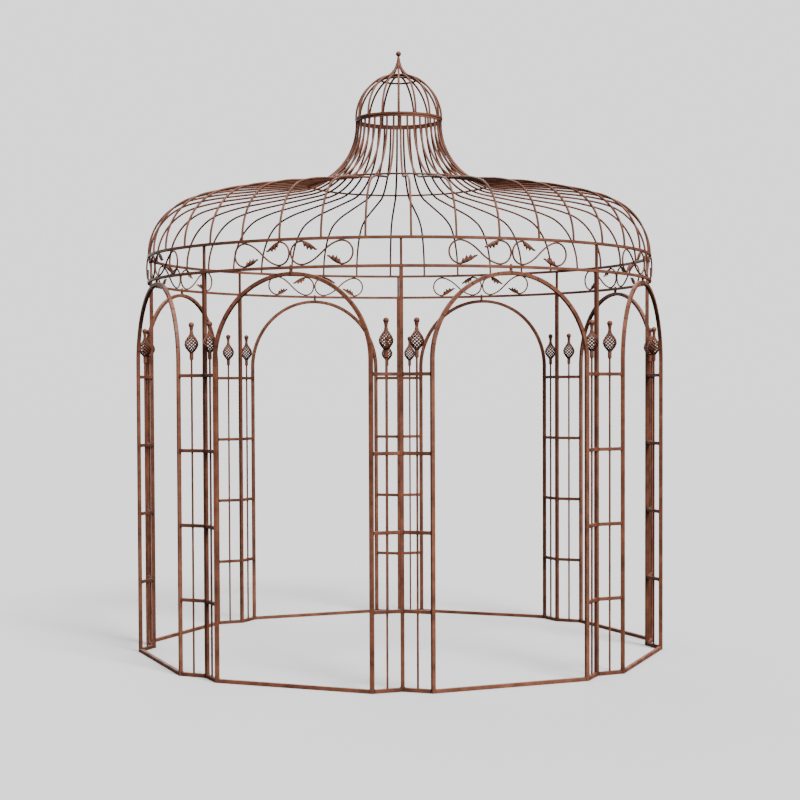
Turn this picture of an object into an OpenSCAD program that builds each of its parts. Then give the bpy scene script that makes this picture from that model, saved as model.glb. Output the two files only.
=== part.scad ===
// Round wrought-iron garden gazebo: eight arched bays and eight V-shaped
// pillar panels under a ribbed roof with a lantern cap.
// Millimetres, +Z up. The origin is on the vertical axis at ground level, and
// the front pillar faces -Y.

/* [Plan] */
// Radius of the two rings, of the pillars' middle posts and of the arch faces
frame_r = 1580; // [1300:10:1900]
// Width of a pillar between the centrelines of the two arch legs beside it
pillar_w = 332; // [280:4:400]

/* [Arches] */
// Side of the square tube of the arches
arch_tube = 22; // [18:1:26]
// Height at which the legs turn into the half-round
spring_h = 1810; // [1500:10:2100]
// Height of the spacer block between an arch and the lower ring
spacer_h = 15; // [8:1:40]
// Side of the spacer block
spacer_w = 14; // [10:1:16]

/* [Pillars] */
// Side of the square tube of a middle post
post_tube = 22; // [18:1:26]
// Side of the square bars of the rungs
rung_bar = 20; // [14:1:22]
// Height and width of the bars on the ground
base_bar = 22; // [18:1:26]
// Number of equal bays from the ground to the top rung
bay_count = 4; // [3:1:6]
// Distance of the top rung's centreline below the turn of the arches
top_rung_drop = 78; // [40:2:200]
// Diameter of the upright rods
rod_d = 12; // [6:0.5:14]

/* [Basket finials] */
// Height of bare rod above the top rung's centreline
rod_rise = 90; // [60:2:140]
// Diameter of the sleeve over the rod's end
sleeve_d = 23; // [20:1:26]
// Height of the sleeve
sleeve_h = 39; // [25:1:60]
// Height of the twisted basket
basket_h = 111; // [80:1:140]
// Width of the basket over its wires
basket_d = 82; // [60:1:90]
// Number of twisted wires in a basket
wire_count = 10; // [6:1:10]
// Thickness of a basket wire at its ends
wire_d = 5; // [4:0.1:5.5]
// Thickness of a wire at the middle of the basket over that at its ends
wire_swell = 1.4; // [1:0.05:1.5]
// Turn of the wires from the bottom of the basket to its top, in degrees
wire_twist = 212; // [60:2:270]
// Height of the waisted neck under the ball
neck_h = 36; // [20:1:50]
// Diameter of the neck at its waist
waist_d = 17; // [14:1:19]
// Diameter of the ball on a finial
ball_d = 33; // [24:1:40]

/* [Rings and frieze] */
// Side of the square tube of the two rings
ring_tube = 17; // [16:1:22]
// Clear height between the rings, which the scrolls fill
frieze_h = 138; // [110:1:170]
// Diameter of the round bar of the scrolls
scroll_bar = 9.5; // [5:0.5:11]
// Distance between the centres of the two curls of one S-scroll
curl_gap = 229; // [205:1:240]
// Side of the short posts between the rings
short_post = 14; // [10:1:16]
// Length of a leaf
leaf_l = 82; // [70:1:95]
// Height to which a leaf's tip lifts from the bar
leaf_lift = 38; // [30:1:48]
// Greatest width of a leaf
leaf_w = 34; // [24:1:40]
// Thickness of a leaf
leaf_t = 4; // [3:0.5:6]

/* [Roof] */
// Diameter of the roof ribs
rib_d = 12; // [7:0.5:12]
// Number of ribs over each bay
ribs_per_bay = 5; // [3:1:5]
// Turn of the whole roof from the front pillar, in degrees
roof_turn = 2; // [0:0.5:4]
// Radius of the ribs' shoulder over the eave
shoulder_r = 355; // [280:5:420]
// Slope at the top of the shoulder, in degrees
eave_slope = 15; // [12:0.5:18]
// Radius of the slight bow above the shoulder
crown_r = 1560; // [1200:20:1900]
// Slope of the straight stretch of the ribs, in degrees
roof_slope = 6.5; // [4:0.5:9]
// Radius of the sweep up into the lantern
neck_r = 415; // [340:5:450]
// Diameter of the round collar that ties the ribs where the sweep begins
collar_bar = 12; // [7:0.5:13]
// Turn of the sweep, in degrees, at which the collar lies on the ribs
collar_turn = 10; // [0:1:20]

/* [Lantern] */
// Radius of the top of the ribs and of the neck ring
lantern_r = 268; // [230:2:300]
// Straight end of a rib under the neck ring
rib_riser = 8; // [5:1:30]
// Height and width of the neck ring
neck_ring = 13; // [12:1:16]
// Height and width of the cap ring on top of it
cap_ring = 14; // [12:1:18]
// Number of ribs of the cap, every second one running on into the spire
cap_ribs = 16; // [12:2:18]
// Radius of the sides of the cap
cap_side_r = 280; // [274:2:294]
// Radius of the top of the cap
cap_top_r = 216; // [200:2:230]
// Slope where the cap's sides turn into its top, in degrees
cap_slope = 30; // [27:1:33]
// Slope at which the flat top begins, in degrees
cap_flat = 5; // [4:0.5:8]
// Radius of the disc where the lower ribs meet
hub_r = 20; // [18:1:26]
// Radius of the small tie ring under the cap's ribs
tie_r = 108; // [100:2:125]

/* [Spire] */
// Slope at which the spire's ribs leave the cap, in degrees
spire_slope = 17.5; // [15:0.5:22]
// Radius of the sweep of the spire's ribs
spire_r = 115; // [105:1:125]
// Diameter of the stem under the top ball
stem_d = 20; // [18:1:24]
// Height of the stem
stem_h = 46; // [40:1:60]
// Diameter of the top ball
top_ball_d = 34; // [30:1:44]

/* [Hidden] */
BAYS = 8;
bay_angle = 360 / BAYS;
round_fn = 24;
arc_fn = 240;
// A bar of several bends is butt-welded: its stretches stop this far short of
// a joint, and a bead a little thicker than the bar joins them.
weld_gap = 0.4;
bead_share = 1.08;
// Depth to which a piece is let into the piece that it is welded to
let_in = 1;
// The cap ring stands proud of the ribs under it by this much
cap_proud = 2;
// A ball sits this share of its diameter over the end that carries it
ball_seat = 0.42;
// Height of a neck's waist as a share of the neck, and how much thicker the
// neck is again where it meets the ball
waist_at = 0.6;
waist_flare = 2;
// Sections along a basket wire
wire_rings = 9;
// Angle at which the curl of a scroll ends in its leaf
curl_end = 275;
// Leaves: points along an edge, place of the first lobe and distance between
// lobes as shares of the length, depth of the cuts between them as a share of
// the width there, and the shape of the outline that the lobes fill
leaf_steps = 24;
lobe_first = 0.19;
lobe_pitch = 0.245;
lobe_cut = 0.5;
leaf_stem = 0.2;
leaf_belly = 0.8;
leaf_taper = 1.5;
// Disc in the cap: depth of the ribs' ends in it and its thickness over theirs
hub_seat = 0.7;
hub_thick = rib_d * 1.25;
// The spire's ribs stop this many degrees short of upright
spire_lean = 10;
// Thickness of the stem at its foot and at its top as shares of its diameter
stem_taper = [1.3, 0.7];

// Plan: the arches stand on the sides of an octagon and leave its corners
// free. The middle posts are set back between the arch legs, so each pillar
// is a shallow V.
leg_x = pillar_w / 2;
arch_r = frame_r * tan(bay_angle / 2) - leg_x / cos(bay_angle / 2);
arch_w = 2 * arch_r;
leg_y = frame_r * cos(bay_angle / 2) + arch_r * sin(bay_angle / 2);
wing = sqrt(leg_x ^ 2 + (leg_y - frame_r) ^ 2);
wing_turn = atan((leg_y - frame_r) / leg_x);

// Heights from the ground up
top_rung_h = spring_h - top_rung_drop;
bay_h = (top_rung_h - base_bar / 2) / bay_count;
finial_z = top_rung_h + rod_rise;
arch_top = spring_h + arch_r + arch_tube / 2;
lower_ring_z = arch_top + spacer_h;
frieze_z = lower_ring_z + ring_tube;
upper_ring_z = frieze_z + frieze_h;
roof_z = upper_ring_z + ring_tube;

// Scrolls: two full curls joined by the line that touches both of them
curl_r = (frieze_h - scroll_bar) / 2;
curl_meet = acos(2 * curl_r / curl_gap);
scroll_half = (curl_gap + frieze_h) / 2;
scroll_turn = atan(scroll_half / frame_r);

// Ends of the stretches of a roof rib, as [radius, height]
eave = [frame_r, roof_z];
shoulder_c = eave - [shoulder_r, 0];
crown_c = shoulder_c - (crown_r - shoulder_r) * [sin(eave_slope), cos(eave_slope)];
crown_a = shoulder_c + shoulder_r * [sin(eave_slope), cos(eave_slope)];
flat_a = crown_c + crown_r * [sin(roof_slope), cos(roof_slope)];
flat_w = flat_a[0] - lantern_r - neck_r * (1 - sin(roof_slope));
flat_b = flat_a + flat_w * [-1, tan(roof_slope)];
neck_c = flat_b + neck_r * [sin(roof_slope), cos(roof_slope)];
neck_ring_z = neck_c[1] + rib_riser;
cap_ring_z = neck_ring_z + neck_ring;
cap_z = cap_ring_z + cap_ring;

// Ends of the stretches of a cap rib, as [radius, height]
cap_r = lantern_r + (cap_ring - neck_ring) / 2 + cap_proud;
side_c = [cap_r - cap_side_r, cap_z];
top_c = side_c + (cap_side_r - cap_top_r) * [sin(cap_slope), cos(cap_slope)];
top_flat = top_c + cap_top_r * [sin(cap_flat), cos(cap_flat)];
hub_z = top_flat[1] + top_flat[0] * tan(cap_flat);
leave = top_c + cap_top_r * [sin(spire_slope), cos(spire_slope)];
sweep_c = leave + spire_r * [sin(spire_slope), cos(spire_slope)];
stem_z = sweep_c[1] - stem_h / 2;

// ---- shared shapes ------------------------------------------------------

// Turns its children, drawn facing -Y at the front, to an angle round the axis
module round_to(turn, out = 0) {
    rotate([0, 0, turn]) translate([0, -out, 0]) children();
}

// Stands a profile drawn as [radius, height] in XY up in the plane at an angle
module upright(turn) {
    rotate([0, 0, turn - 90]) rotate([90, 0, 0]) children();
}

// Round bar bent to an arc about c, between two angles, short by gap at its ends
module bent_bar(c, radius, from, to, bar, gap = 0) {
    less = gap / radius * 180 / PI;
    translate([c[0], c[1], 0])
        rotate([0, 0, from + less])
            rotate_extrude(angle = to - from - 2 * less, $fn = arc_fn)
                translate([radius, 0]) circle(d = bar, $fn = round_fn);
}

// Straight round bar from one point of a profile to another, short by gap
module straight_bar(a, b, bar, gap = 0) {
    run = b - a;
    translate([a[0], a[1], 0])
        rotate([0, 0, atan2(run[1], run[0])])
            translate([gap, 0, 0]) rotate([0, 90, 0])
                cylinder(d = bar, h = norm(run) - 2 * gap, $fn = round_fn);
}

// Weld beads at the points where stretches of a bar meet
module beads(points, bar) {
    for (p = points)
        translate([p[0], p[1], 0]) sphere(d = bar * bead_share, $fn = round_fn);
}

// Square-section ring on the axis, standing on height z
module square_ring(radius, side, z) {
    rotate_extrude($fn = arc_fn)
        translate([radius - side / 2, z]) square(side);
}

// ---- arches -------------------------------------------------------------

// Inverted U of square tube with a bar on the ground between its legs
module arch(i) {
    color([0.50, 0.27, 0.19])
    round_to((i - 0.5) * bay_angle, frame_r) {
        for (side = [-1, 1])
            translate([side * arch_r - arch_tube / 2, -arch_tube / 2, 0])
                cube([arch_tube, arch_tube, spring_h]);
        translate([0, 0, spring_h]) rotate([90, 0, 0])
            rotate_extrude(angle = 180, $fn = arc_fn)
                translate([arch_r, 0]) square(arch_tube, center = true);
        translate([-arch_r, -base_bar / 2, 0]) cube([arch_w, base_bar, base_bar]);
        translate([-spacer_w / 2, -spacer_w / 2, arch_top - arch_tube / 2])
            cube([spacer_w, spacer_w, spacer_h + arch_tube / 2]);
    }
}

// ---- pillars ------------------------------------------------------------

// Bar from the middle post out to one arch leg, notched to the leg's corner
module wing_bar(side, bar, z) {
    difference() {
        rotate([0, 0, -side * wing_turn])
            translate([side > 0 ? 0 : -wing, -bar / 2, z]) cube([wing, bar, bar]);
        translate([side * leg_x, frame_r - leg_y, z + bar / 2])
            rotate([0, 0, side * bay_angle / 2])
                cube([arch_tube, arch_tube, 2 * bar], center = true);
    }
}

// Middle post, rungs and upright rods of one V-shaped panel
module pillar(i) {
    color([0.47, 0.25, 0.18])
    round_to((i - 1) * bay_angle, frame_r) {
        translate([-post_tube / 2, -post_tube / 2, 0])
            cube([post_tube, post_tube, lower_ring_z]);
        for (side = [-1, 1]) {
            wing_bar(side, base_bar, 0);
            for (k = [1 : bay_count])
                wing_bar(side, rung_bar, base_bar / 2 + k * bay_h - rung_bar / 2);
            translate([side * leg_x / 2, (frame_r - leg_y) / 2, base_bar / 2])
                cylinder(d = rod_d, h = finial_z - base_bar / 2, $fn = round_fn);
        }
    }
}

// ---- basket finials -----------------------------------------------------

// Radius of a wire's centreline at a share t of the basket's height
function wire_r(t) = let (foot = sleeve_d / 2 - wire_d / 2 - let_in)
    foot + ((basket_d - wire_d * wire_swell) / 2 - foot) * sin(180 * t ^ 0.9) ^ 1.4;
function wire_at(w, t) = let (a = 360 * w / wire_count - wire_twist * t)
    [wire_r(t) * cos(a), wire_r(t) * sin(a), (basket_h + 2 * let_in) * t - let_in];
function unit(v) = v / norm(v);
// Four corners of a wire's section, flat at both ends of the basket
function wire_ring(w, t) = let (
        p = wire_at(w, t),
        half = wire_d / 2 * (1 + (wire_swell - 1) * sin(180 * t)),
        ahead = unit(wire_at(w, min(t + 0.02, 1)) - wire_at(w, max(t - 0.02, 0))),
        out = unit(cross([-p[1], p[0], 0], ahead)),
        along = cross(ahead, out),
        flat = t == 0 || t == 1)
    [for (q = [[1, 1], [-1, 1], [-1, -1], [1, -1]])
        let (c = flat
            ? p + half * (q[0] * unit([p[0], p[1], 0]) + q[1] * unit([-p[1], p[0], 0]))
            : p + half * (q[0] * out + q[1] * along))
        c];

module basket_wire(w) {
    points = [for (k = [0 : wire_rings - 1]) each wire_ring(w, k / (wire_rings - 1))];
    last = 4 * (wire_rings - 1);
    sides = [for (k = [0 : wire_rings - 2], s = [0 : 3])
        let (a = 4 * k + s, b = 4 * k + (s + 1) % 4)
        each [[a, b + 4, b], [a, a + 4, b + 4]]];
    polyhedron(points, concat(sides, [[0, 1, 2], [0, 2, 3],
        [last, last + 2, last + 1], [last, last + 3, last + 2]]));
}

// Sleeve, twisted basket, waisted neck and ball on the end of a rod
module finial() {
    cylinder(d = sleeve_d, h = sleeve_h, $fn = round_fn);
    translate([0, 0, sleeve_h]) for (w = [0 : wire_count - 1]) basket_wire(w);
    translate([0, 0, sleeve_h + basket_h]) {
        cylinder(d1 = sleeve_d, d2 = waist_d, h = neck_h * waist_at, $fn = round_fn);
        translate([0, 0, neck_h * waist_at])
            cylinder(d1 = waist_d, d2 = waist_d + waist_flare,
                h = neck_h * (1 - waist_at) + 2 * let_in, $fn = round_fn);
        translate([0, 0, neck_h + ball_d * ball_seat]) sphere(d = ball_d, $fn = round_fn);
    }
}

module finials(i) {
    color([0.52, 0.29, 0.20])
    round_to((i - 1) * bay_angle, frame_r)
        for (side = [-1, 1])
            translate([side * leg_x / 2, (frame_r - leg_y) / 2, finial_z]) finial();
}

// ---- frieze between the rings -------------------------------------------

// Outline of an acanthus leaf at shares t of its length: the back is a plain
// curve that starts along the bar and lifts, and the lobes stand up from it
function leaf_back(t) = [leaf_l * t, leaf_lift * t ^ 2 - scroll_bar / 2 * (1 - t)];
function leaf_fill(t) = leaf_stem
    + (1 - leaf_stem) * max(0, sin(180 * t ^ leaf_belly)) ^ leaf_taper;
function leaf_cut(t) = lobe_cut * (1 - cos(360 * (t - lobe_first) / lobe_pitch)) / 2;
function leaf_outline() = concat(
    [for (k = [0 : 3 : leaf_steps]) leaf_back(k / leaf_steps)],
    [for (k = [leaf_steps : -1 : 0]) let (t = k / leaf_steps)
        leaf_back(t) + [0, leaf_w * leaf_fill(t) * (1 - leaf_cut(t))]]);

// One curl of a scroll with the leaf in its mouth
module curl() {
    bent_bar([-curl_gap / 2, 0], curl_r, curl_meet, curl_end, scroll_bar);
    translate([-curl_gap / 2, -curl_r, -leaf_t / 2])
        linear_extrude(leaf_t) polygon(leaf_outline());
}

// S-scroll, the same when turned half round
module scroll() {
    link_a = [-curl_gap / 2, 0] + curl_r * [cos(curl_meet), sin(curl_meet)];
    curl();
    rotate([0, 0, 180]) curl();
    straight_bar(link_a, -link_a, scroll_bar, weld_gap);
    beads([link_a, -link_a], scroll_bar);
}

// Mirrored pair of S-scrolls over an arch, and the short post beside it
module frieze(i) {
    color([0.49, 0.26, 0.19]) {
        for (side = [-1, 1])
            round_to((i - 0.5) * bay_angle + side * scroll_turn, frame_r)
                translate([0, 0, frieze_z + frieze_h / 2]) rotate([90, 0, 0])
                    mirror([side > 0 ? 1 : 0, 0, 0]) scroll();
        round_to((i - 1) * bay_angle, frame_r)
            translate([-short_post / 2, -short_post / 2, frieze_z])
                cube([short_post, short_post, frieze_h]);
    }
}

module rings() {
    color([0.44, 0.23, 0.16])
    for (z = [lower_ring_z, upper_ring_z]) square_ring(frame_r, ring_tube, z);
}

// ---- roof ---------------------------------------------------------------

// Rib from the upper ring over the shoulder and up into the lantern
module roof_rib() {
    bent_bar(shoulder_c, shoulder_r, 0, 90 - eave_slope, rib_d);
    bent_bar(crown_c, crown_r, 90 - eave_slope, 90 - roof_slope, rib_d, weld_gap);
    straight_bar(flat_a, flat_b, rib_d);
    bent_bar(neck_c, neck_r, 180, 270 - roof_slope, rib_d, weld_gap);
    straight_bar([lantern_r, neck_c[1]], [lantern_r, neck_ring_z], rib_d);
    beads([crown_a, flat_a, flat_b, [lantern_r, neck_c[1]]], rib_d);
}

module roof(i) {
    color([0.46, 0.24, 0.17])
    for (k = [0 : ribs_per_bay - 1])
        upright((i - 1 + k / ribs_per_bay) * bay_angle + roof_turn) roof_rib();
}

// Thin collar lying on the ribs where they sweep up, and the tie ring under
// the ribs of the cap
module collars() {
    lean = 270 - roof_slope - collar_turn;
    lift = (rib_d + collar_bar) / 2;
    color([0.42, 0.22, 0.15])
    for (at = [neck_c + (neck_r - lift) * [cos(lean), sin(lean)],
            [tie_r, top_c[1] + sqrt((cap_top_r - lift) ^ 2 - (tie_r - top_c[0]) ^ 2)]])
        rotate_extrude($fn = arc_fn) translate(at) circle(d = collar_bar, $fn = round_fn);
}

module neck_ring() {
    color([0.40, 0.21, 0.15]) square_ring(lantern_r, neck_ring, neck_ring_z);
}

// ---- lantern cap --------------------------------------------------------

// Side of the cap up to the slope at which a rib leaves it, shared by the
// cap's own ribs and the spire's; sink lets its foot into the cap ring
module cap_side(leave_slope, sink = 0) {
    bent_bar(side_c, cap_side_r, -sink / cap_side_r * 180 / PI, 90 - cap_slope, rib_d);
    bent_bar(top_c, cap_top_r, 90 - cap_slope, 90 - leave_slope, rib_d, weld_gap);
    beads([for (slope = [cap_slope, leave_slope])
        top_c + cap_top_r * [sin(slope), cos(slope)]], rib_d);
}

// Cap ring, and the ribs that meet at a disc in the middle
module cap() {
    hub_in = [hub_r * hub_seat, hub_z - hub_r * hub_seat * tan(cap_flat)];
    color([0.45, 0.23, 0.17]) {
        square_ring(cap_r, cap_ring, cap_ring_z);
        for (k = [1 : 2 : cap_ribs - 1]) upright(k * 360 / cap_ribs) {
            cap_side(cap_flat, let_in);
            straight_bar(top_flat, hub_in, rib_d);
        }
        translate([0, 0, hub_z - (hub_thick + rib_d / 2) / 2])
            cylinder(r = hub_r, h = hub_thick, $fn = round_fn);
    }
}

// Ribs that leave the cap and sweep up to the stem with the ball
module spire() {
    color([0.48, 0.26, 0.18]) {
        for (k = [0 : 2 : cap_ribs - 2]) upright(k * 360 / cap_ribs) {
            cap_side(spire_slope);
            bent_bar(sweep_c, spire_r, 180 + spire_lean, 270 - spire_slope, rib_d);
        }
        translate([0, 0, stem_z])
            cylinder(d1 = stem_d * stem_taper[0], d2 = stem_d * stem_taper[1], h = stem_h, $fn = round_fn);
        translate([0, 0, stem_z + stem_h + top_ball_d * ball_seat])
            sphere(d = top_ball_d, $fn = round_fn);
    }
}

// ---- nodes --------------------------------------------------------------

for (i = [1 : BAYS]) {
    arch(i);
    pillar(i);
    finials(i);
    frieze(i);
    roof(i);
}
rings();
collars();
neck_ring();
cap();
spire();
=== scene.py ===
import bpy
import numpy as np
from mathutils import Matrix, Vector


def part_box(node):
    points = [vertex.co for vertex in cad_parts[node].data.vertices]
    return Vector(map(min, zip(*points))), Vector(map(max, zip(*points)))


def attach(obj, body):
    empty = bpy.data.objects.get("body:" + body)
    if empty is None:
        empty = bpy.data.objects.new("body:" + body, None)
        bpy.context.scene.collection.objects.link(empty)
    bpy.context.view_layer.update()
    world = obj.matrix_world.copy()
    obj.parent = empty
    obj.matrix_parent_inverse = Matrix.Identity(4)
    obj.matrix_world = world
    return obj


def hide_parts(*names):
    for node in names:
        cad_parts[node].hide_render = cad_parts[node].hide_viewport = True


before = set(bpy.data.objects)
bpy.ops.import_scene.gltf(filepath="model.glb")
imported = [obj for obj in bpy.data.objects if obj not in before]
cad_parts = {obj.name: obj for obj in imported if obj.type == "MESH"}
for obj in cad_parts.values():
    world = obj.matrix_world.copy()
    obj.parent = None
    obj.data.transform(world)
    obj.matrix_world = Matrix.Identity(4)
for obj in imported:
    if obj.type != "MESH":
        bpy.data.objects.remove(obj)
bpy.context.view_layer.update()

# ---- Arches -------------------------------------------------------------------
# Eight inverted U's of rust-brown square steel tube: two legs and a half-round bow,
# sleeved together at the springing, with a bar welded across the feet. A drilled
# block on the crown takes the bolt that holds the lower ring.

bays = 8
bay_turn = 2 * np.pi / bays
arch_tube = 0.022
tube_corner = 0.0024
base_bar = 0.022
pillar_w = 0.332
spring_h = 1.810
block_w = 0.014
block_corner = 0.0015
joint_drop = 0.024
joint_half = 0.0016
bend_steps = 180
crease_every = 10
ring_tube = 0.017
ring_low, ring_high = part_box("rings")
frame_r = ring_high[0] - ring_tube / 2
leg_x = pillar_w / 2
arch_half = frame_r * np.tan(bay_turn / 2) - leg_x / np.cos(bay_turn / 2)
arch_top = spring_h + arch_half + arch_tube / 2
lower_ring_z = ring_low[2]


def unit(v):
    """Each vector divided by its length."""
    return v / np.maximum(np.linalg.norm(v, axis=-1, keepdims=True), 1e-12)


def square_line(side, corner, steps=4):
    """Outline of a drawn square bar: a quarter circle about each corner's centre. With
    it come the outward normals and the edge, 1 on the corners and 0 where a flat begins."""
    share = np.linspace(0, 1, steps + 1)
    start = np.repeat(np.arange(4) * np.pi / 2, steps + 1)
    angle = start + np.tile(share, 4) * np.pi / 2
    out = np.stack([np.cos(angle), np.sin(angle)], 1)
    middle = start + np.pi / 4
    centre = np.sqrt(2) * (side / 2 - corner) * np.stack([np.cos(middle), np.sin(middle)], 1)
    return centre + corner * out, out, np.tile(np.sin(np.pi * share), 4)


def round_line(diameter, sides=12):
    """Outline of a round bar: points at equal angles on a circle, with their outward
    normals and no edge."""
    angle = np.arange(sides) * 2 * np.pi / sides
    out = np.stack([np.cos(angle), np.sin(angle)], 1)
    return diameter / 2 * out, out, np.zeros(sides)


def carried(path, side, line, swell=None, loop=False, mark=0.0):
    """An outline carried along a path: point = path + swell * (x * across + y * up), with
    across the given side made square to the path, and up = ahead x across. The mark, 0 to
    1 at each point of the path, says where the coat is scorched by a weld or darkened at a
    joint, and where shade is painted dark into a crease."""
    outline, out, edge = line
    path = np.asarray(path, float)
    ahead = unit(np.roll(path, -1, 0) - np.roll(path, 1, 0)) if loop else unit(
        np.gradient(path, axis=0))
    across = np.broadcast_to(np.asarray(side, float), path.shape)
    across = unit(across - (across * ahead).sum(1, keepdims=True) * ahead)
    up = np.cross(ahead, across)
    swell = np.ones(len(path)) if swell is None else np.asarray(swell, float)
    x, y = outline.T
    points = path[:, None] + swell[:, None, None] * (
        x[None, :, None] * across[:, None] + y[None, :, None] * up[:, None])
    normals = out[None, :, :1] * across[:, None] + out[None, :, 1:] * up[:, None]
    return {"points": points, "normals": normals, "loop": loop, "ends": ahead[[0, -1]],
            "edge": np.broadcast_to(edge, points.shape[:2]),
            "mark": np.broadcast_to(np.reshape(mark, (-1, 1)), points.shape[:2])}


def turned(points, turn, out=0.0):
    """Points drawn facing the front, moved out from the axis and turned round it:
    x' = x cos - (y - out) sin and y' = x sin + (y - out) cos."""
    points = np.asarray(points, float)
    x, y = points[..., 0], points[..., 1] - out
    c, s = np.cos(turn), np.sin(turn)
    return np.stack([c * x - s * y, s * x + c * y, points[..., 2]], -1)


def placed(parts, turn, out=0.0):
    """Parts of one piece, moved out and turned round the axis together."""
    return [dict(part, points=turned(part["points"], turn, out),
                 normals=turned(part["normals"], turn), ends=turned(part["ends"], turn))
            for part in parts]


def piece(name, parts, material, slot, *nodes):
    """One mesh from grids of points: quads between neighbouring rings, a flat face over
    each open end, each corner shaded by its own normal, and the edges and the marks kept
    as attributes of the points."""
    verts, faces, normals, edge, mark, start = [], [], [], [], [], 0
    for part in parts:
        rings, sides = part["points"].shape[:2]
        grid = start + np.arange(rings * sides).reshape(rings, sides)
        a = grid if part["loop"] else grid[:-1]
        b = np.roll(grid, -1, 0) if part["loop"] else grid[1:]
        quads = np.stack([a, np.roll(a, -1, 1), np.roll(b, -1, 1), b], -1).reshape(-1, 4)
        verts.append(part["points"].reshape(-1, 3))
        edge.append(part["edge"].reshape(-1))
        mark.append(part["mark"].reshape(-1))
        faces += quads.tolist()
        normals.append(part["normals"].reshape(-1, 3)[quads.ravel() - start])
        if not part["loop"]:
            faces += [grid[0, ::-1].tolist(), grid[-1].tolist()]
            normals += [np.tile(way, (sides, 1)) for way in (-part["ends"][0], part["ends"][1])]
        start += rings * sides
    mesh = bpy.data.meshes.new(name)
    mesh.from_pydata(np.concatenate(verts).tolist(), [], faces)
    mesh.polygons.foreach_set("use_smooth", np.ones(len(faces), bool))
    mesh.normals_split_custom_set(np.concatenate(normals).tolist())
    for kind, values in (("edge", edge), ("mark", mark)):
        kept = mesh.attributes.new(kind, "FLOAT", "POINT")
        kept.data.foreach_set("value", np.concatenate(values).astype(np.float32))
    mesh.materials.append(material)
    made = bpy.data.objects.new(name, mesh)
    bpy.context.scene.collection.objects.link(made)
    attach(made, "root")
    if nodes:
        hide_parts(*nodes)
    return made


def weld(path, thick=0.0034):
    """A weld run along a closed path: a thin round bar whose thickness ripples, swell =
    1 + 0.16 sin(2.1 k) + 0.08 sin(5.3 k) at its k-th point, as the puddles overlap."""
    k = np.arange(len(path))
    swell = 1 + 0.16 * np.sin(2.1 * k) + 0.08 * np.sin(5.3 * k)
    return carried(path, (0.31, 0.59, 0.74), round_line(thick, 6), swell, loop=True, mark=0.7)


def square_loop(centre, across, up, side, steps=5):
    """Points round a square bar where it meets another: the four sides of the square,
    each cut into steps, in the plane of across and up."""
    run = np.linspace(-1, 1, steps, endpoint=False)
    one = np.ones(steps)
    x = np.concatenate([run, one, -run, -one]) * side / 2
    y = np.concatenate([-one, run, one, -run]) * side / 2
    return np.asarray(centre, float) + x[:, None] * np.asarray(across, float) + (
        y[:, None] * np.asarray(up, float))


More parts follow.
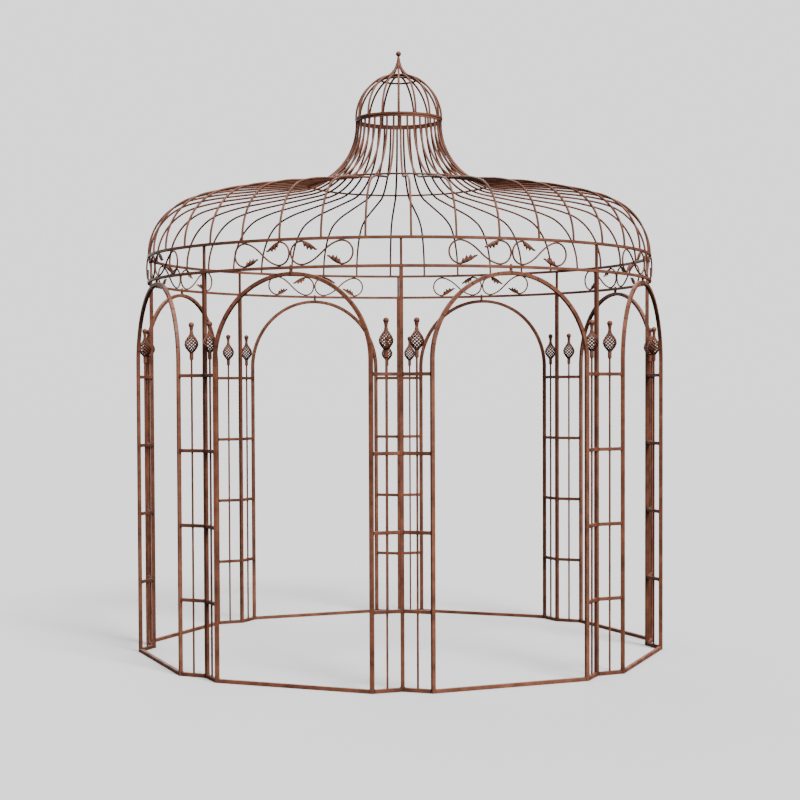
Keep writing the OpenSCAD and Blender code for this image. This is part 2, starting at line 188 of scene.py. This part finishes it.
def coat_group():
    """Shader group of the antique powder coat: broad clouds and fine speckle between a
    dark and a light brown, painted shade that gathers in patches along the corners, a
    scorched brown where a weld marks the bar, the same dark painted as shade into the
    creases of the bow, and an orange-peel height."""
    group = bpy.data.node_groups.new("Antique coat", "ShaderNodeTree")
    add, link = group.nodes.new, group.links.new
    for name, kind in (("Dark", "Color"), ("Light", "Color"), ("Corner shade", "Color"),
                       ("Edge", "Float"), ("Mark", "Float"), ("Cloud scale", "Float"),
                       ("Speckle", "Float")):
        group.interface.new_socket(name, in_out="INPUT", socket_type="NodeSocket" + kind)
    for name, kind in (("Color", "Color"), ("Roughness", "Float"), ("Height", "Float")):
        group.interface.new_socket(name, in_out="OUTPUT", socket_type="NodeSocket" + kind)
    given, out = add("NodeGroupInput"), add("NodeGroupOutput")
    place = add("ShaderNodeTexCoord")

    def noise(scale, detail, roughness):
        """Noise over the object's own coordinates, with a fixed or a given scale."""
        made = add("ShaderNodeTexNoise")
        made.inputs["Detail"].default_value = detail
        made.inputs["Roughness"].default_value = roughness
        link(place.outputs["Object"], made.inputs["Vector"])
        if isinstance(scale, float):
            made.inputs["Scale"].default_value = scale
        else:
            link(scale, made.inputs["Scale"])
        return made.outputs["Fac"]

    def ramp(value, low, high, to_low=0.0, to_high=1.0):
        """A value between low and high spread straight over to_low to to_high."""
        made = add("ShaderNodeMapRange")
        made.inputs["From Min"].default_value = low
        made.inputs["From Max"].default_value = high
        made.inputs["To Min"].default_value = to_low
        made.inputs["To Max"].default_value = to_high
        link(value, made.inputs["Value"])
        return made.outputs["Result"]

    def math(kind, a, b, c=None):
        """One sum of two or three numbers or sockets, held between 0 and 1."""
        made = add("ShaderNodeMath")
        made.operation = kind
        made.use_clamp = True
        for socket, value in zip(made.inputs, (a, b, c)):
            if isinstance(value, (int, float)):
                socket.default_value = value
            elif value is not None:
                link(value, socket)
        return made.outputs[0]

    def mix(factor, a, b):
        """The colour at a share, the factor, of the way from a to b."""
        made = add("ShaderNodeMix")
        made.data_type = "RGBA"
        for socket, value in (("Factor", factor), ("A", a), ("B", b)):
            if isinstance(value, tuple):
                made.inputs[socket].default_value = value
            else:
                link(value, made.inputs[socket])
        return made.outputs["Result"]

    clouds = ramp(noise(given.outputs["Cloud scale"], 5.0, 0.62), 0.34, 0.66)
    fine = noise(420.0, 2.0, 0.5)
    speck = ramp(fine, 0.40, 0.60)
    tone = math("MULTIPLY_ADD", clouds, 0.62, math("MULTIPLY", speck, given.outputs["Speckle"]))
    base = mix(tone, given.outputs["Dark"], given.outputs["Light"])
    # Painted shade: a dark tint laid in patches along the rounded corners, where the faces turn away
    # from the light.
    corner_shade_patches = ramp(noise(38.0, 4.0, 0.7), 0.36, 0.60)
    painted_corner_shade = math("MULTIPLY", math("MULTIPLY", given.outputs["Edge"], corner_shade_patches), 0.75)
    corner_shaded = mix(painted_corner_shade, base, given.outputs["Corner shade"])
    # The mark mixes in a scorched brown at welds and dark joints, and painted shade in the creases of
    # the bow.
    burn_and_shade_patches = ramp(noise(90.0, 3.0, 0.6), 0.30, 0.62, 0.45, 0.92)
    burn_and_crease_shade = math("MULTIPLY", given.outputs["Mark"], burn_and_shade_patches)
    link(mix(burn_and_crease_shade, corner_shaded, (0.018, 0.008, 0.005, 1)), out.inputs["Color"])
    link(ramp(tone, 0.0, 1.0, 0.62, 0.44), out.inputs["Roughness"])
    link(math("MULTIPLY_ADD", fine, 0.7, math("MULTIPLY", clouds, 0.3)), out.inputs["Height"])
    return group


coat = coat_group()


# corner is the colour of the painted shade along the rounded corners of the bars.
def coated(name, dark, light, corner=(0.060, 0.018, 0.010), cloud=9.0, speckle=0.38, peel=0.2):
    """Powder-coated steel: the coat group feeds colour and roughness, and its height goes
    through a bump."""
    material = bpy.data.materials.new(name)
    material.use_nodes = True
    nodes, link = material.node_tree.nodes, material.node_tree.links.new
    shader = nodes["Principled BSDF"]
    shader.inputs["Specular IOR Level"].default_value = 0.25
    skin = nodes.new("ShaderNodeGroup")
    skin.node_tree = coat
    skin.inputs["Dark"].default_value = (*dark, 1)
    skin.inputs["Light"].default_value = (*light, 1)
    skin.inputs["Corner shade"].default_value = (*corner, 1)
    skin.inputs["Cloud scale"].default_value = cloud
    skin.inputs["Speckle"].default_value = speckle
    for kind, socket in (("edge", "Edge"), ("mark", "Mark")):
        kept = nodes.new("ShaderNodeAttribute")
        kept.attribute_name = kind
        link(kept.outputs["Fac"], skin.inputs[socket])
    bump = nodes.new("ShaderNodeBump")
    bump.inputs["Distance"].default_value = 0.0008
    bump.inputs["Strength"].default_value = peel
    link(skin.outputs["Height"], bump.inputs["Height"])
    link(skin.outputs["Color"], shader.inputs["Base Color"])
    link(skin.outputs["Roughness"], shader.inputs["Roughness"])
    link(bump.outputs["Normal"], shader.inputs["Normal"])
    return material


arch_coat = coated("arch coat", (0.066, 0.021, 0.010), (0.300, 0.108, 0.060))
tube_line = square_line(arch_tube, tube_corner)
bend = np.linspace(0, np.pi, bend_steps + 1)
joint_z = spring_h - joint_drop + joint_half * np.array([-1, -0.5, 0.5, 1])
leg_up = np.stack([np.full(5, arch_half), np.zeros(5), np.append(0.0, joint_z)], 1)
bow_path = np.concatenate([
    leg_up,
    np.stack([arch_half * np.cos(bend), 0 * bend, spring_h + arch_half * np.sin(bend)], 1),
    leg_up[::-1] * (-1, 1, 1)])
crease_from = len(leg_up) + crease_every
creased = slice(crease_from, -crease_from, crease_every)
joints = [2, 3, -3, -4]
# Painted shade: the creases along the bow, shallow grooves, are marked dark for the shade in them; the
# joints at the springing are marked as dark joints.
dark = np.zeros(len(bow_path))
dark[creased] = 0.75 + 0.25 * np.sin(2.4 * np.arange(len(dark[creased])))
groove = 1 - 0.04 * dark
groove[joints] = 0.93
dark[joints] = 0.8
bar_end = arch_half - arch_tube / 2
for i in range(bays):
    parts = [carried(bow_path, (0, 1, 0), tube_line, groove, mark=dark),
             carried([[-bar_end, 0, base_bar / 2], [bar_end, 0, base_bar / 2]], (0, 1, 0), tube_line),
             carried([[0, 0, arch_top - 0.004], [0, 0, lower_ring_z]], (1, 0, 0),
                     square_line(block_w, block_corner)),
             weld(square_loop((0, 0, arch_top), (1, 0, 0), (0, 1, 0), block_w + 0.001))]
    for side in (-1, 1):
        parts.append(weld(square_loop((side * bar_end, 0, base_bar / 2 + 0.002), (0, 1, 0),
                                      (0, 0, 1), base_bar - 0.001)))
    piece(f"bow_{i + 1}", placed(parts, (i + 0.5) * bay_turn, frame_r), arch_coat,
          "square_tube", f"arch_{i + 1}")

# ---- Pillars ------------------------------------------------------------------
# Eight shallow V panels between the arches. Each has a square middle post up to the
# ring, four rungs and a ground bar welded out to the arch legs, and two round rods
# that pass through the drilled rungs.

post_tube = 0.022
rung_bar = 0.020
rung_corner = 0.0020
rod_d = 0.012
weld_lift = 0.0025
top_rung_z = spring_h - 0.078
rungs = 4
rod_rise = 0.090
leg_y = frame_r * np.cos(bay_turn / 2) + arch_half * np.sin(bay_turn / 2)
wing = np.hypot(leg_x, leg_y - frame_r)
rung_z = base_bar / 2 + np.arange(1, rungs + 1) * (top_rung_z - base_bar / 2) / rungs
finial_z = top_rung_z + rod_rise

pillar_coat = coated("pillar coat", (0.055, 0.017, 0.009), (0.250, 0.088, 0.049))
parts = [carried([[0, 0, 0], [0, 0, lower_ring_z]], (1, 0, 0), square_line(post_tube, tube_corner))]
for side in (-1, 1):
    way = np.array([side * leg_x, frame_r - leg_y, 0]) / wing
    level = np.cross((0, 0, 1), way)
    leg_face = wing - arch_tube / 2
    for z, bar in [(base_bar / 2, base_bar)] + [(z, rung_bar) for z in rung_z]:
        ends = np.outer([post_tube / 2 - 0.001, leg_face + 0.001], way) + (0, 0, z)
        parts.append(carried(ends, (0, 0, 1), square_line(bar, rung_corner)))
        lift = weld_lift if bar == base_bar else 0
        for run in (post_tube / 2, leg_face):
            parts.append(weld(square_loop(run * way + (0, 0, z + lift), level, (0, 0, 1), bar)))
    foot = wing / 2 * way
    parts.append(carried([foot + (0, 0, base_bar / 2), foot + (0, 0, finial_z + 0.004)],
                         (1, 0, 0), round_line(rod_d, 16)))
    round_rod = np.linspace(0, 2 * np.pi, 14, endpoint=False)
    weld_run = (rod_d / 2 + 0.0006) * np.stack([
        np.cos(round_rod), np.sin(round_rod), 0 * round_rod], 1)
    for z in rung_z:
        for lift in (-rung_bar / 2, rung_bar / 2):
            parts.append(weld(foot + weld_run + (0, 0, z + lift), 0.0026))
for i in range(bays):
    piece(f"panel_{i + 1}", placed(parts, i * bay_turn, frame_r), pillar_coat,
          "square_tube", f"pillar_{i + 1}")

# ---- Basket finials -----------------------------------------------------------
# Sixteen forged finials on the rods: a sleeve over the rod's end, ten wires twisted
# together and opened into a basket, and a waisted neck with a ball, all welded.

sleeve_d = 0.023
sleeve_h = 0.039
basket_h = 0.111
basket_d = 0.082
wires = 10
wire_d = 0.006
wire_swell = 1.5
wire_twist = np.radians(212)
neck_h = 0.036
waist_d = 0.0195
ball_d = 0.033


def spun(outline, sides=24, mark=0.0):
    """An outline of [radius, height] points spun round the vertical: point = (radius cos,
    radius sin, height), normals square to the outline, marked all over."""
    outline = np.asarray(outline, float)
    way = unit(np.gradient(outline, axis=0))
    angle = np.arange(sides) * 2 * np.pi / sides
    around = np.stack([np.cos(angle), np.sin(angle)], 1)
    points = np.concatenate([outline[:, None, :1] * around[None],
                             np.broadcast_to(outline[:, None, 1:], (len(outline), sides, 1))], -1)
    normals = np.concatenate([way[:, None, 1:] * around[None],
                              np.broadcast_to(-way[:, None, :1], (len(outline), sides, 1))], -1)
    return {"points": points, "normals": normals, "loop": False, "edge": np.zeros(points.shape[:2]),
            "mark": np.full(points.shape[:2], mark), "ends": np.array([(0, 0, 1.0), (0, 0, 1.0)])}


def moved(part, place):
    """A part moved to a place."""
    return dict(part, points=part["points"] + np.asarray(place, float))


def arc(centre, radius, start, end, steps):
    """Points on a circle about a centre between two angles in degrees: centre + radius
    (cos, sin)."""
    angle = np.radians(np.linspace(start, end, steps))
    return np.asarray(centre) + radius * np.stack([np.cos(angle), np.sin(angle)], 1)


def smooth_line(points, steps):
    """A smooth line through [radius, height] points: Catmull-Rom, the cubic through each
    pair whose slopes come from the points on either side."""
    p = np.asarray(points, float)
    p = np.concatenate([2 * p[:1] - p[1:2], p, 2 * p[-1:] - p[-2:-1]])
    t = np.linspace(0, 1, steps, endpoint=False)[None, :, None]
    a, b, c, d = (p[k:len(p) - 3 + k][:, None] for k in range(4))
    line = 0.5 * (2 * b + (c - a) * t + (2 * a - 5 * b + 4 * c - d) * t ** 2
                  + (3 * b - a - 3 * c + d) * t ** 3)
    return np.concatenate([line.reshape(-1, 2), p[-2:-1]])


def basket_wire(turn):
    """Centreline of a wire: its radius swells as foot + (widest - foot) sin(180 t^0.9)^1.4
    at a share t of the height, while its angle falls evenly by the twist."""
    t = np.linspace(0, 1, 45)
    foot = sleeve_d / 2 - wire_d / 2 - 0.001
    widest = (basket_d - wire_d * wire_swell) / 2
    r = foot + (widest - foot) * np.sin(np.pi * t ** 0.9).clip(0) ** 1.4
    angle = turn - wire_twist * t
    return np.stack([r * np.cos(angle), r * np.sin(angle), sleeve_h - 0.002 + (basket_h + 0.004) * t], 1)


finial_coat = coated("finial coat", (0.055, 0.018, 0.010), (0.230, 0.082, 0.045), cloud=24.0)
sleeve_line = [(0.0066, 0.0), (0.0104, 0.0004), (0.0114, 0.0018), (0.0115, 0.004), (0.0115, 0.034),
               (0.0116, 0.037), (0.0108, sleeve_h + 0.0006), (0.0085, sleeve_h + 0.0022),
               (0.003, sleeve_h + 0.003), (0.0004, sleeve_h + 0.0031)]
neck_z = sleeve_h + basket_h
seat = neck_z + neck_h
ball_z = seat + 0.42 * ball_d
neck_line = [(0.0004, neck_z - 0.004), (0.006, neck_z - 0.0038), (0.0105, neck_z - 0.0016),
             (0.0115, neck_z + 0.0012), (0.0108, neck_z + 0.006), (0.0092, neck_z + 0.015),
             (waist_d / 2, neck_z + 0.0225), (0.0106, seat - 0.006), (0.0118, seat - 0.002),
             (0.0112, seat + 0.002)]
ball_line = arc((0, ball_z), ball_d / 2, -89, 89, 25)
finial = [spun(smooth_line(sleeve_line, 3)), spun(smooth_line(neck_line, 4)), spun(ball_line)]
for w in range(wires):
    line = basket_wire(2 * np.pi * w / wires)
    thicker = 1 + (wire_swell - 1) * np.sin(np.linspace(0, np.pi, len(line)))
    finial.append(carried(line, unit(line * (1, 1, 0)), round_line(wire_d, 8), thicker))
for i in range(bays):
    parts = []
    for side in (-1, 1):
        place = (side * leg_x / 2, (frame_r - leg_y) / 2, finial_z)
        parts += [moved(part, place) for part in finial]
    piece(f"basket_finials_{i + 1}", placed(parts, i * bay_turn, frame_r), finial_coat,
          "twisted_wire", f"finials_{i + 1}")

# ---- Rings --------------------------------------------------------------------
# Two hoops of thinner square tube, rolled and welded shut. The lower one is bolted
# to the posts and to the crown of every arch; the upper one carries the roof.

frieze_z = lower_ring_z + ring_tube
upper_ring_z = ring_high[2] - ring_tube
ring_corner = 0.0020
around = np.linspace(0, 2 * np.pi, 288, endpoint=False)


def hoop(radius, z, line):
    """A closed circle of radius at a height, with an outline carried round it."""
    path = np.stack([radius * np.sin(around), -radius * np.cos(around), z + 0 * around], 1)
    return carried(path, (0, 0, 1), line, loop=True)


ring_coat = coated("ring coat", (0.060, 0.020, 0.010), (0.290, 0.106, 0.060))
hoop_line = square_line(ring_tube, ring_corner)
parts = [hoop(frame_r, z + ring_tube / 2, hoop_line) for z in (lower_ring_z, upper_ring_z)]
bolt_line = [(0.0086, -0.0005), (0.0086, 0.0012), (0.0080, 0.0017), (0.0068, 0.0018), (0.0066, 0.0060),
             (0.0058, 0.0070), (0.0004, 0.0071)]
for i in range(2 * bays):
    parts += placed([moved(spun(bolt_line, 12), (0, 0, frieze_z))], i * bay_turn / 2, frame_r)
piece("hoops", parts, ring_coat, "ring_tube", "rings")

# ---- Frieze -------------------------------------------------------------------
# Over every arch two S-scrolls of round bar stand mirrored between the rings. Each
# curl ends in a pressed, lobed leaf with a knob at its tip, and a short square bar
# over each post ties the rings together. Everything is welded.

frieze_h = upper_ring_z - frieze_z
scroll_bar = 0.0105
curl_gap = 0.229
curl_from = 275
short_post = 0.014
post_corner = 0.0014
leaf_l = 0.087
leaf_lift = 0.036
leaf_w = 0.041
knob_r = 0.0055
tack_r = 0.0062
curl_r = (frieze_h - scroll_bar) / 2
sway_from = 78
sway_slope = 44
scroll_turn = np.arctan((curl_gap + frieze_h) / 2 / frame_r)


def skin(points, flip):
    """A grid of points closed round its second direction, counted backwards unless the
    drawing is flipped, with normals square to both directions of the grid."""
    points = points if flip < 0 else points[:, ::-1]
    ahead = np.gradient(points, axis=0)
    round_it = np.roll(points, -1, 1) - np.roll(points, 1, 1)
    middle = points.mean(1)
    return {"points": points, "normals": unit(np.cross(round_it, ahead)), "loop": False,
            "edge": np.zeros(points.shape[:2]), "mark": np.zeros(points.shape[:2]),
            "ends": unit(np.gradient(middle, axis=0))[[0, -1]]}


def leaf(steps=49, sides=20):
    """A pressed leaf as x along the bar, y towards the curl's middle and z to the front.
    The back edge lifts as t^2 and the lobes stand up from it as a sine fill cut by a
    cosine; across, it is a lens, domed between the edges, dished along the lobes and
    bent forward towards the tip."""
    t = np.linspace(0, 1, steps)[:, None]
    angle = np.arange(sides)[None] * 2 * np.pi / sides
    fill = 0.16 + 0.84 * np.sin(np.pi * t ** 0.80).clip(0) ** 0.95
    cut = 0.36 * (1 - np.cos(2 * np.pi * (t - 0.19) / 0.245)) / 2
    high = leaf_w * fill * (1 - cut)
    share = (1 - np.cos(angle)) / 2
    x = leaf_l * t - 0.004 * share * np.sin(np.pi * t)
    y = leaf_lift * t ** 2 - scroll_bar / 2 * (1 - t) + share * high
    dome = 0.006 * np.sin(np.pi * share) * (high / leaf_w)
    vein = -0.0016 * cut / 0.36 * share + 0.0014 * np.exp(-((share - 0.22) / 0.09) ** 2)
    tip = 0.010 * t ** 3
    thick = 0.0018 + 0.0022 * (1 - t) ** 2
    z = dome + vein + tip + thick * np.sin(angle)
    return np.stack(np.broadcast_arrays(x, y, z), -1)


def bent_leaf(points, k):
    """The k-th leaf, hammered a little longer or shorter and bent by a few degrees about
    the end of its curl: x' = long x cos - y sin, y' = long x sin + y cos."""
    long = 1 + 0.09 * np.sin(4.1 * k + 1)
    lean = np.radians(2.5 + 5.5 * np.sin(2.4 * k))
    x, y = long * points[..., 0], points[..., 1]
    return np.stack([x * np.cos(lean) - y * np.sin(lean) - curl_gap / 2,
                     x * np.sin(lean) + y * np.cos(lean) - curl_r, points[..., 2]], -1)


def stood(points, lift, flip):
    """Scroll drawings stood up facing the front: x stays or flips, y is height, z comes
    forward."""
    points = np.asarray(points, float)
    z = points[..., 2] if points.shape[-1] == 3 else 0 * points[..., 0]
    return np.stack([flip * points[..., 0], -z, points[..., 1] + lift], -1)


def on_turn(angle):
    """Unit step clockwise along a circle at an angle in degrees: (sin, -cos)."""
    return np.array([np.sin(np.radians(angle)), -np.cos(np.radians(angle))])


def eased(start, start_way, end, end_way, steps):
    """A cubic from one point to another that leaves and arrives along two unit ways, each
    as long as the chord: the Hermite blend of ends and ways."""
    start, end = np.asarray(start, float), np.asarray(end, float)
    t = np.linspace(0, 1, steps)[:, None]
    run = np.linalg.norm(end - start)
    return ((2 * t ** 3 - 3 * t ** 2 + 1) * start + (t ** 3 - 2 * t ** 2 + t) * run * start_way
            + (3 * t ** 2 - 2 * t ** 3) * end + (t ** 3 - t ** 2) * run * end_way)


scroll_coat = coated("scroll coat", (0.048, 0.016, 0.009), (0.220, 0.080, 0.045), cloud=16.0)
curl = arc((-curl_gap / 2, 0), curl_r, curl_from, sway_from, 49)
sway = eased(curl[-1], on_turn(sway_from), (0, 0), on_turn(90 - sway_slope), 13)
scroll = np.concatenate([curl, sway[1:], -sway[-2:0:-1], -curl[::-1]])
blade = leaf()
knob = arc((0, 0), knob_r, -88, 88, 9)
tack = arc((0, 0), tack_r, -88, 88, 7)
mid_z = frieze_z + frieze_h / 2
for i in range(bays):
    parts = []
    for side in (-1, 1):
        one = [carried(stood(scroll, mid_z, -side), (0, 1, 0), round_line(scroll_bar, 12))]
        for half in (1, -1):
            bent = bent_leaf(blade, 4 * i + side + (half + 1) / 2) * (half, half, 1)
            one.append(skin(stood(bent, mid_z, -side), -side))
            tip = bent[-1].mean(0)
            one.append(moved(spun(knob, 10, 0.6), stood(tip, mid_z, -side)))
            for end in (-1, 1):
                touch = np.array([half * curl_gap / 2, end * (frieze_h / 2 - 0.002)])
                one.append(moved(spun(tack, 8, 0.9), stood(touch, mid_z, -side)))
        parts += placed(one, (i + 0.5) * bay_turn + side * scroll_turn, frame_r)
    post = [carried([[0, 0, frieze_z], [0, 0, upper_ring_z]], (1, 0, 0),
                    square_line(short_post, post_corner))]
    post += [weld(square_loop((0, 0, z), (1, 0, 0), (0, 1, 0), short_post)) for z in
             (frieze_z, upper_ring_z)]
    parts += placed(post, i * bay_turn, frame_r)
    piece(f"scrolls_{i + 1}", parts, scroll_coat, "scroll_bar", f"frieze_{i + 1}")

# ---- Roof ribs ----------------------------------------------------------------
# Forty ribs of round bar, bent over the eave and swept up into the lantern, welded
# to the upper ring at the foot and under the neck ring at the top.

rib_d = 0.013
ribs_per_bay = 5
roof_turn = np.radians(2)
shoulder_r = 0.355
eave_slope = 15
crown_r = 1.560
roof_slope = 6.5
neck_r = 0.415
lantern_r = 0.268
roof_z = ring_high[2]
neck_ring_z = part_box("neck_ring")[0][2]


def on_slope(slope):
    """Unit [radius, height] step square to a roof slope in degrees: (sin, cos)."""
    return np.array([np.sin(np.radians(slope)), np.cos(np.radians(slope))])


shoulder_c = np.array([frame_r - shoulder_r, roof_z])
crown_c = shoulder_c - (crown_r - shoulder_r) * on_slope(eave_slope)
flat_a = crown_c + crown_r * on_slope(roof_slope)
flat_w = flat_a[0] - lantern_r - neck_r * (1 - on_slope(roof_slope)[0])
flat_b = flat_a + flat_w * np.array([-1, np.tan(np.radians(roof_slope))])
neck_c = flat_b + neck_r * on_slope(roof_slope)
rib_line = np.concatenate([
    arc(shoulder_c, shoulder_r, 0, 90 - eave_slope, 25)[:-1],
    arc(crown_c, crown_r, 90 - eave_slope, 90 - roof_slope, 7),
    arc(neck_c, neck_r, 270 - roof_slope, 180, 31),
    [[lantern_r, neck_ring_z]]])


def upright(line, turn):
    """A [radius, height] line stood in the plane at an angle round the axis: x = radius
    sin and y = -radius cos."""
    line = np.asarray(line, float)
    return np.stack([line[:, 0] * np.sin(turn), -line[:, 0] * np.cos(turn), line[:, 1]], 1)


def rib(line, turn, bar=rib_d, sides=12):
    """A round bar along an upright line, its outline kept level across the plane."""
    return carried(upright(line, turn), (np.cos(turn), np.sin(turn), 0), round_line(bar, sides))


def ring_weld(place, radius, thick=0.003):
    """A weld run round the foot of a bar that stands on something level."""
    angle = np.linspace(0, 2 * np.pi, 12, endpoint=False)
    return weld(np.asarray(place) + np.stack([radius * np.cos(angle), radius * np.sin(angle),
                                              0 * angle], 1), thick)


rib_coat = coated("rib coat", (0.046, 0.016, 0.009), (0.250, 0.092, 0.053))
for i in range(bays):
    parts = []
    for k in range(ribs_per_bay):
        turn = (i + k / ribs_per_bay) * bay_turn + roof_turn
        parts.append(rib(rib_line, turn))
        parts.append(ring_weld(upright([[frame_r, roof_z]], turn)[0], rib_d / 2 + 0.0008))
    piece(f"ribs_{i + 1}", parts, rib_coat, "round_bar", f"roof_{i + 1}")

# ---- Collars ------------------------------------------------------------------
# A hoop of round bar lies on the ribs where they start to sweep up, and a small one
# sits under the ribs of the cap. Both are tacked to every rib they cross.

collar_bar = 0.012
collar_turn = 10
tie_r = 0.108
lean = np.radians(270 - roof_slope - collar_turn)
collar_at = neck_c + (neck_r - (rib_d + collar_bar) / 2) * np.array([np.cos(lean), np.sin(lean)])
tie_at = np.array([tie_r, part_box("collars")[1][2] - collar_bar / 2])
collar_coat = coated("collar coat", (0.050, 0.017, 0.010), (0.210, 0.075, 0.043))
parts = [hoop(r, z, round_line(collar_bar, 12)) for r, z in (collar_at, tie_at)]
piece("ties", parts, collar_coat, "round_bar", "collars")

# ---- Lantern ------------------------------------------------------------------
# A neck ring closes the roof ribs, and the cap's own ring stands on it. Sixteen
# ribs rise from that: eight meet at a disc in the middle, eight sweep up together
# round the stem of the top ball.

neck_ring = 0.013
neck_corner = 0.0014
cap_ring = 0.014
cap_corner = 0.0018
cap_ribs = 16
cap_side_r = 0.280
cap_top_r = 0.216
cap_slope = 30
cap_flat = 5
hub_r = 0.020
hub_reach = 0.014
hub_corner = 0.002
spire_slope = 17.5
spire_r = 0.115
stem_h = 0.046
top_ball_d = 0.034
cap_z = neck_ring_z + neck_ring + cap_ring
cap_r = lantern_r + (cap_ring - neck_ring) / 2 + 0.002
side_c = np.array([cap_r - cap_side_r, cap_z])
top_c = side_c + (cap_side_r - cap_top_r) * on_slope(cap_slope)
top_flat = top_c + cap_top_r * on_slope(cap_flat)
hub_z = top_flat[1] + top_flat[0] * np.tan(np.radians(cap_flat))
leave = top_c + cap_top_r * on_slope(spire_slope)
sweep_c = leave + spire_r * on_slope(spire_slope)
stem_z = sweep_c[1] - stem_h / 2

neck_hoop = hoop(lantern_r, neck_ring_z + neck_ring / 2, square_line(neck_ring, neck_corner))
piece("neck_hoop", [neck_hoop], ring_coat, "ring_tube", "neck_ring")

cap_coat = coated("cap coat", (0.052, 0.017, 0.009), (0.260, 0.095, 0.053))
side_line = arc(side_c, cap_side_r, 0, 90 - cap_slope, 25)[:-1]
parts = [hoop(cap_r, cap_z - cap_ring / 2, square_line(cap_ring, cap_corner))]
for k in range(1, cap_ribs, 2):
    turn = k * 2 * np.pi / cap_ribs
    line = np.concatenate([side_line, arc(top_c, cap_top_r, 90 - cap_slope, 90 - cap_flat, 13),
                           [[hub_reach, hub_z - hub_reach * np.tan(np.radians(cap_flat))]]])
    parts += [rib(line, turn), ring_weld(upright([[cap_r, cap_z]], turn)[0], rib_d / 2 + 0.0008)]
hub_t = rib_d * 1.25
hub_low = hub_z - (hub_t + rib_d / 2) / 2
hub_line = [(0.0004, hub_low), (hub_r - hub_corner, hub_low), (hub_r, hub_low + hub_corner),
            (hub_r, hub_low + hub_t - hub_corner), (hub_r - hub_corner, hub_low + hub_t),
            (0.0004, hub_low + hub_t)]
parts.append(spun(hub_line, 24))
piece("cap_ribs", parts, cap_coat, "round_bar", "cap")

spire_coat = coated("spire coat", (0.052, 0.017, 0.009), (0.260, 0.095, 0.053), cloud=16.0)
parts = []
for k in range(0, cap_ribs, 2):
    turn = k * 2 * np.pi / cap_ribs
    line = np.concatenate([side_line, arc(top_c, cap_top_r, 90 - cap_slope, 90 - spire_slope, 9)[:-1],
                           arc(sweep_c, spire_r, 270 - spire_slope, 190, 17)])
    parts += [rib(line, turn), ring_weld(upright([[cap_r, cap_z]], turn)[0], rib_d / 2 + 0.0008)]
top = stem_z + stem_h
stem_line = [(0.0004, stem_z), (0.011, stem_z + 0.0004), (0.0128, stem_z + 0.002),
             (0.0122, stem_z + 0.010), (0.0100, top - 0.022), (0.0074, top - 0.008), (0.0070, top)]
parts.append(spun(smooth_line(stem_line, 4)))
parts.append(spun(arc((0, top + 0.42 * top_ball_d), top_ball_d / 2 - 0.0001, -89, 89, 25)))
piece("spire_ribs", parts, spire_coat, "round_bar", "spire")

# ---- Stage --------------------------------------------------------------------
# A pale floor that runs into a white room, a soft sun from high in front on the
# right, a weak wide one from behind on the left, and a camera at the eye of a person
# standing in front of the gazebo.

floor_reach = 90
floor_seen, floor_cast = 0.63, 0.04
wall_seen, wall_low, wall_high = 1.62, 0.12, 0.85
eye_h = 1.65
eye_away = 10.544
lens_over_width = 1650.75 / 800

floor_mesh = bpy.data.meshes.new("floor")
floor_mesh.from_pydata([(x * floor_reach, y * floor_reach, 0) for x, y in
                        ((-1, -1), (1, -1), (1, 1), (-1, 1))], [], [(0, 1, 2, 3)])
floor = bpy.data.objects.new("floor", floor_mesh)
bpy.context.scene.collection.objects.link(floor)


def seen_and_cast(tree, shader, socket, seen, cast):
    """Sets a colour socket to one grey where the camera looks straight at it, and to
    another for the light that it casts on the object. Returns the node that picks."""
    path = tree.nodes.new("ShaderNodeLightPath")
    pick = tree.nodes.new("ShaderNodeMix")
    pick.data_type = "RGBA"
    pick.inputs["A"].default_value = (cast, cast, cast, 1)
    pick.inputs["B"].default_value = (seen, seen, seen, 1)
    tree.links.new(path.outputs["Is Camera Ray"], pick.inputs["Factor"])
    tree.links.new(pick.outputs["Result"], shader.inputs[socket])
    return pick


floor_paint = bpy.data.materials.new("pale floor")
floor_paint.use_nodes = True
floor_mesh.materials.append(floor_paint)
paint = floor_paint.node_tree.nodes["Principled BSDF"]
paint.inputs["Roughness"].default_value = 1.0
paint.inputs["Specular IOR Level"].default_value = 0.0
seen_and_cast(floor_paint.node_tree, paint, "Base Color", floor_seen, floor_cast)

world = bpy.data.worlds.new("white room")
bpy.context.scene.world = world
world.use_nodes = True
sky = world.node_tree.nodes["Background"]
sky.inputs["Strength"].default_value = 1.0
room = seen_and_cast(world.node_tree, sky, "Color", wall_seen, wall_low)
way = world.node_tree.nodes.new("ShaderNodeTexCoord")
height = world.node_tree.nodes.new("ShaderNodeSeparateXYZ")
world.node_tree.links.new(way.outputs["Generated"], height.inputs["Vector"])
ceiling = world.node_tree.nodes.new("ShaderNodeMapRange")
ceiling.inputs["To Min"].default_value = wall_low
ceiling.inputs["To Max"].default_value = wall_high
world.node_tree.links.new(height.outputs["Z"], ceiling.inputs["Value"])
world.node_tree.links.new(ceiling.outputs["Result"], room.inputs["A"])


def sun(name, strength, spread, tilt, turn):
    """A sun that shines straight down, tilted and then turned by degrees, with a spread
    in radians that softens its shadows."""
    data = bpy.data.lights.new(name, "SUN")
    data.energy = strength
    data.angle = spread
    light = bpy.data.objects.new(name, data)
    light.rotation_euler = (np.radians(tilt), 0, np.radians(turn))
    bpy.context.scene.collection.objects.link(light)


sun("sun", 6.2, 0.35, 42, 32)
sun("back light", 2.6, 1.2, -55, 22)

camera_data = bpy.data.cameras.new("camera")
camera_data.sensor_width = 36.0
camera_data.lens = lens_over_width * 36
camera_data.shift_y = 0.05
camera = bpy.data.objects.new("camera", camera_data)
camera.location = (-0.0649, -eye_away, eye_h)
camera.rotation_euler = (np.pi / 2 - 0.0308, 0.0039, -0.0063)
bpy.context.scene.collection.objects.link(camera)
bpy.context.scene.camera = camera
